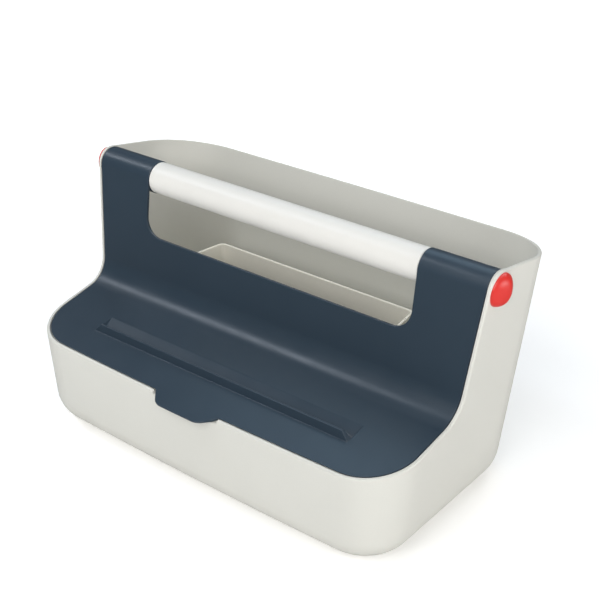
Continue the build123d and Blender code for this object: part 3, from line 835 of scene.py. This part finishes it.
def handle():
    b = Build()
    xe, ro, ri = ARM - 0.3, 12.5, 9.8
    prof = []
    for t in np.linspace(0, pi / 2, 6): prof.append((-xe + 0.7 * (1 - sin(t)), ro - 0.7 * (1 - cos(t))))
    prof = [(-xe + 20, ri), (-xe + 0.4, ri), (-xe + 0.1, ri + 0.12), (-xe, ri + 0.4), (-xe, ro - 1.0)] + \
        [(-xe + 0.6 * (1 - cos(t)), ro - 0.6 * (1 - sin(t))) for t in np.linspace(0, pi / 2, 6)] + [(-xe + 1.2, ro)] + \
        [(x, ro) for x in np.linspace(-xe + 6, xe - 6, 30)] + [(xe - 1.2, ro)] + \
        [(xe - 0.6 * (1 - cos(t)), ro - 0.6 * (1 - sin(t))) for t in np.linspace(pi / 2, 0, 6)] + \
        [(xe, ro - 1.0), (xe, ri + 0.4), (xe - 0.1, ri + 0.12), (xe - 0.4, ri), (xe - 20, ri), (-xe + 20, ri)]
    revolve(b, prof, YH, ZH, 128)
    return b.make("handle_grip", [M_HANDLE], "box", ["handle_tube"])


handle_ob = handle()

# ---- red end caps ----------------------------------------------------------------------------
def cap(sg, name, node):
    """Domed push-in cap over the hinge, with a soft upright ridge across its face."""
    b = Build()
    x0 = half(ZH)
    R, H = 12.0, 8.2
    P = []
    nr, nt = 40, 128
    for k in range(nt):
        t = 2 * pi * k / nt
        # flat back in the counterbore, from its middle out
        row = [(sg * (x0 - 0.45 + g * sin(t) * KA), YH + g * cos(t), ZH + g * sin(t)) for g in (0.0, R - 1.0, R)]
        for j in range(nr + 1):
            f = j / nr * pi / 2
            r, h = R * cos(f), H * sin(f)
            u, v = r * cos(t), r * sin(t)
            # the two flanks fall away from the ridge
            h *= 1 - 0.42 * (sqrt(u * u + 1.4) - sqrt(1.4)) / R
            # a small radius where the dome meets the wall
            h += 0.1
            row.append((sg * (x0 + h + v * KA), YH + u, ZH + v))
        P.append(row)
    b.grid(np.array(P), close_u=True, flip=(sg < 0))
    return b.make(name, [M_CAP], "box", [node])


cap_r = cap(1, "end_cap_right", "pivot_cap_right")
cap_l = cap(-1, "end_cap_left", "pivot_cap_left")

# ---- divider ---------------------------------------------------------------------------------
DY, DX, DSP, DW, DT, DR, DRI, DTOP = 48.4, 93.0, 5.2, 12.0, 2.0, 3.0, 5.0, 122.5


def divider():
    """The wall behind the handle: set back in the middle, with wings to the side walls."""
    b = Build()
    # front line of the wall in plan, right half, from the middle; with normals to the front
    c1, c2 = (DX, DY), (DX + DSP, DW)
    f1, f2 = fillet((0, DY), c1, c2, DR, 12), fillet(c1, c2, (171.6, DW), DRI, 12)
    line = [(x, DY) for x in np.linspace(0, f1[0][0], 30)[:-1]] + list(f1)
    line += [tuple(np.array(f1[-1]) + (np.array(f2[0]) - np.array(f1[-1])) * t) for t in np.linspace(0, 1, 12)[1:-1]]
    line += list(f2) + [(x, DW) for x in np.linspace(f2[-1][0], 171.6, 26)[1:]]
    line = np.array(line)
    tg = np.gradient(line, axis=0)
    tg /= np.linalg.norm(tg, axis=1, keepdims=True)
    tg[0] = (1, 0)
    pts = [(x, y, ty, -tx) for (x, y), (tx, ty) in zip(line, tg)]
    full = [(-x, y, -nx, ny) for x, y, nx, ny in pts[:0:-1]] + pts
    rim = 0.85
    P = []
    zb0 = BASE + FLOOR + 0.2
    for x, y, nx, ny in full:
        # the bottom follows the tub's base radius, the ends its draft
        def low(px):
            r = RB - WALL - 0.3
            xc = half(zb0 + r) - WALL - 0.35 - r * 1.004
            d = abs(px) - xc
            return zb0 if d <= 0 else zb0 + r - sqrt(max(0.0, r * r - min(d, r * 0.999) ** 2))
        zb = low(x)
        row = []
        zs = np.linspace(zb, DTOP - rim - 0.6, 14)
        for z in zs: row.append((x, y, z))
        row.append((x, y, DTOP - rim))
        for t in np.linspace(0, pi, 11)[1:-1]:
            o = DT / 2 * (1 - cos(t))
            row.append((x - nx * o, y - ny * o, DTOP - rim + rim * sin(t)))
        row.append((x - nx * DT, y - ny * DT, DTOP - rim))
        for z in zs[::-1]: row.append((x - nx * DT, y - ny * DT, z))
        # clip the wing's end to the drafted side wall
        row2 = []
        for px, py, pz in row:
            lim = half(pz) - WALL - 0.35
            row2.append((max(-lim, min(lim, px)), py, pz))
        P.append(row2)
    P = np.array(P)
    b.grid(P, close_v=True, flip=False)
    n = P.shape[1]
    b.f.append(tuple(range(n)))
    b.f.append(tuple((len(P) - 1) * n + i for i in reversed(range(n))))
    b.m += [0, 0]
    return b.make("divider_wall", [M_DIV], "box", ["divider"])


div_ob = divider()

# ---- CAD nodes that stay, with their own finish ------------------------------------------------
for n, m in (("hinge_pin_right", M_HANDLE), ("hinge_pin_left", M_HANDLE), ("cap_washer_right", M_ZINC), ("cap_washer_left", M_ZINC),
             ("handle_screws", M_ZINC), ("feet", M_FOOT)):
    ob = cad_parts[n]
    ob.data.materials.clear()
    ob.data.materials.append(m)

# ---- stage, light, camera ----------------------------------------------------------------------
def floor():
    me = bpy.data.meshes.new("floor_sheet")
    n, s = 24, 3.0
    vs = [((i / n - 0.5) * 2 * s, (j / n - 0.5) * 2 * s, 0.0) for i in range(n + 1) for j in range(n + 1)]
    fs = [(i * (n + 1) + j, (i + 1) * (n + 1) + j, (i + 1) * (n + 1) + j + 1, i * (n + 1) + j + 1) for i in range(n) for j in range(n)]
    me.from_pydata(vs, [], fs)
    ob = bpy.data.objects.new("floor_sheet", me)
    bpy.context.scene.collection.objects.link(ob)
    m = plastic("floor_paper", (0.93, 0.93, 0.93, 1), 0.9, mottle=0.004, spec=0.05)
    pb = m.node_tree.nodes["Principled BSDF"]
    pb.inputs["Emission Color"].default_value = (1, 0.985, 0.96, 1)
    # the sheet is lit a little more the further it is from the box, as a studio sweep is
    fn, fl = m.node_tree.nodes, m.node_tree.links
    geo, dist, mr = fn.new("ShaderNodeNewGeometry"), fn.new("ShaderNodeVectorMath"), fn.new("ShaderNodeMapRange")
    dist.operation = "LENGTH"
    mr.inputs["From Min"].default_value, mr.inputs["From Max"].default_value = 0.28, 0.9
    mr.inputs["To Min"].default_value, mr.inputs["To Max"].default_value = 0.25, 0.6
    fl.new(geo.outputs["Position"], dist.inputs[0])
    fl.new(dist.outputs["Value"], mr.inputs["Value"])
    # and once more towards its edge, so that it meets the white backdrop without a grey band
    far, both = fn.new("ShaderNodeMapRange"), fn.new("ShaderNodeMath")
    far.inputs["From Min"].default_value, far.inputs["From Max"].default_value = 1.3, 2.4
    far.inputs["To Min"].default_value, far.inputs["To Max"].default_value = 0.0, 0.36
    fl.new(dist.outputs["Value"], far.inputs["Value"])
    fl.new(mr.outputs["Result"], both.inputs[0])
    fl.new(far.outputs["Result"], both.inputs[1])
    fl.new(both.outputs["Value"], pb.inputs["Emission Strength"])
    me.materials.append(m)
    ob.visible_glossy = False        # the satin lid shows no mirror image of the floor
    return ob


floor()


def area(name, loc, target, size, power, color=(1, 1, 1), spread=180, size_y=None):
    L = bpy.data.lights.new(name, "AREA")
    L.shape = "RECTANGLE"
    L.size, L.size_y = size, size_y or size
    L.energy, L.color = power, color
    L.spread = radians(spread)
    o = bpy.data.objects.new(name, L)
    bpy.context.scene.collection.objects.link(o)
    o.location = loc
    o.rotation_mode = "QUATERNION"
    o.rotation_quaternion = (Vector(target) - Vector(loc)).to_track_quat("-Z", "Y")
    return o


W = bpy.data.worlds.new("studio")
bpy.context.scene.world = W
W.use_nodes = True
wn, wl = W.node_tree.nodes, W.node_tree.links
light_bg = wn["Background"]
light_bg.inputs["Color"].default_value = (1, 1, 1, 1)
light_bg.inputs["Strength"].default_value = 0.12
back_bg = wn.new("ShaderNodeBackground")          # the backdrop itself is plain white
back_bg.inputs["Color"].default_value = (1, 1, 1, 1)
back_bg.inputs["Strength"].default_value = 1.0
path, mixs = wn.new("ShaderNodeLightPath"), wn.new("ShaderNodeMixShader")
wl.new(path.outputs["Is Camera Ray"], mixs.inputs["Fac"])
wl.new(light_bg.outputs["Background"], mixs.inputs[1])
wl.new(back_bg.outputs["Background"], mixs.inputs[2])
wl.new(mixs.outputs["Shader"], wn["World Output"].inputs["Surface"])
def panel(name, az, el, size, power, color=(1, 1, 1)):
    """Square soft box 2 m from the object, at an azimuth and elevation."""
    a, e = radians(az), radians(el)
    area(name, tuple(2.0 * c for c in (cos(a) * cos(e), sin(a) * cos(e), sin(e))), (0, 0, 0.1), size, power, color)


# broad soft boxes in front, overhead, on the right and above the back light the white walls evenly; a cooler
# one behind on the left lies in the lid's shelf as sheen, and two small ones on the left draw the
# highlights along its bend and on the left arm
panel("soft_front", -80, 42, 1.2, 21.0)
area("soft_top", (0, 0.25, 2.4), (0, 0, 0.1), 1.2, 4.2)
area("soft_right", (2.1, 0.1, 0.8), (0, 0, 0.1), 1.0, 17.3)
area("soft_back", (0, 1.6, 1.8), (0, 0, 0.1), 0.8, 9.2)
area("soft_left", (-2.1, 0.0, 1.2), (0, 0, 0.1), 1.0, 4.4)
panel("sheen_left", 126, 54, 1.0, 3.8, (0.74, 1.04, 1.30))
panel("streak_a", -151, 53, 0.36, 4.1, (0.92, 1.0, 1.12))
panel("streak_b", -166, 43, 0.30, 1.6, (0.92, 1.0, 1.12))

cam = bpy.data.cameras.new("camera")
cam_ob = bpy.data.objects.new("camera", cam)
bpy.context.scene.collection.objects.link(cam_ob)
cam.sensor_width = 36.0
cam.lens = 72.21
cam.clip_start, cam.clip_end = 0.05, 20
C, T = Vector((0.51517, -0.60795, 0.54148)), Vector((-0.02011, 0.05882, 0.090))
cam_ob.location = C
cam_ob.rotation_mode = "QUATERNION"
cam_ob.rotation_quaternion = (T - C).to_track_quat("-Z", "Y")
bpy.context.scene.camera = cam_ob
bpy.context.scene.view_settings.view_transform = "Standard"
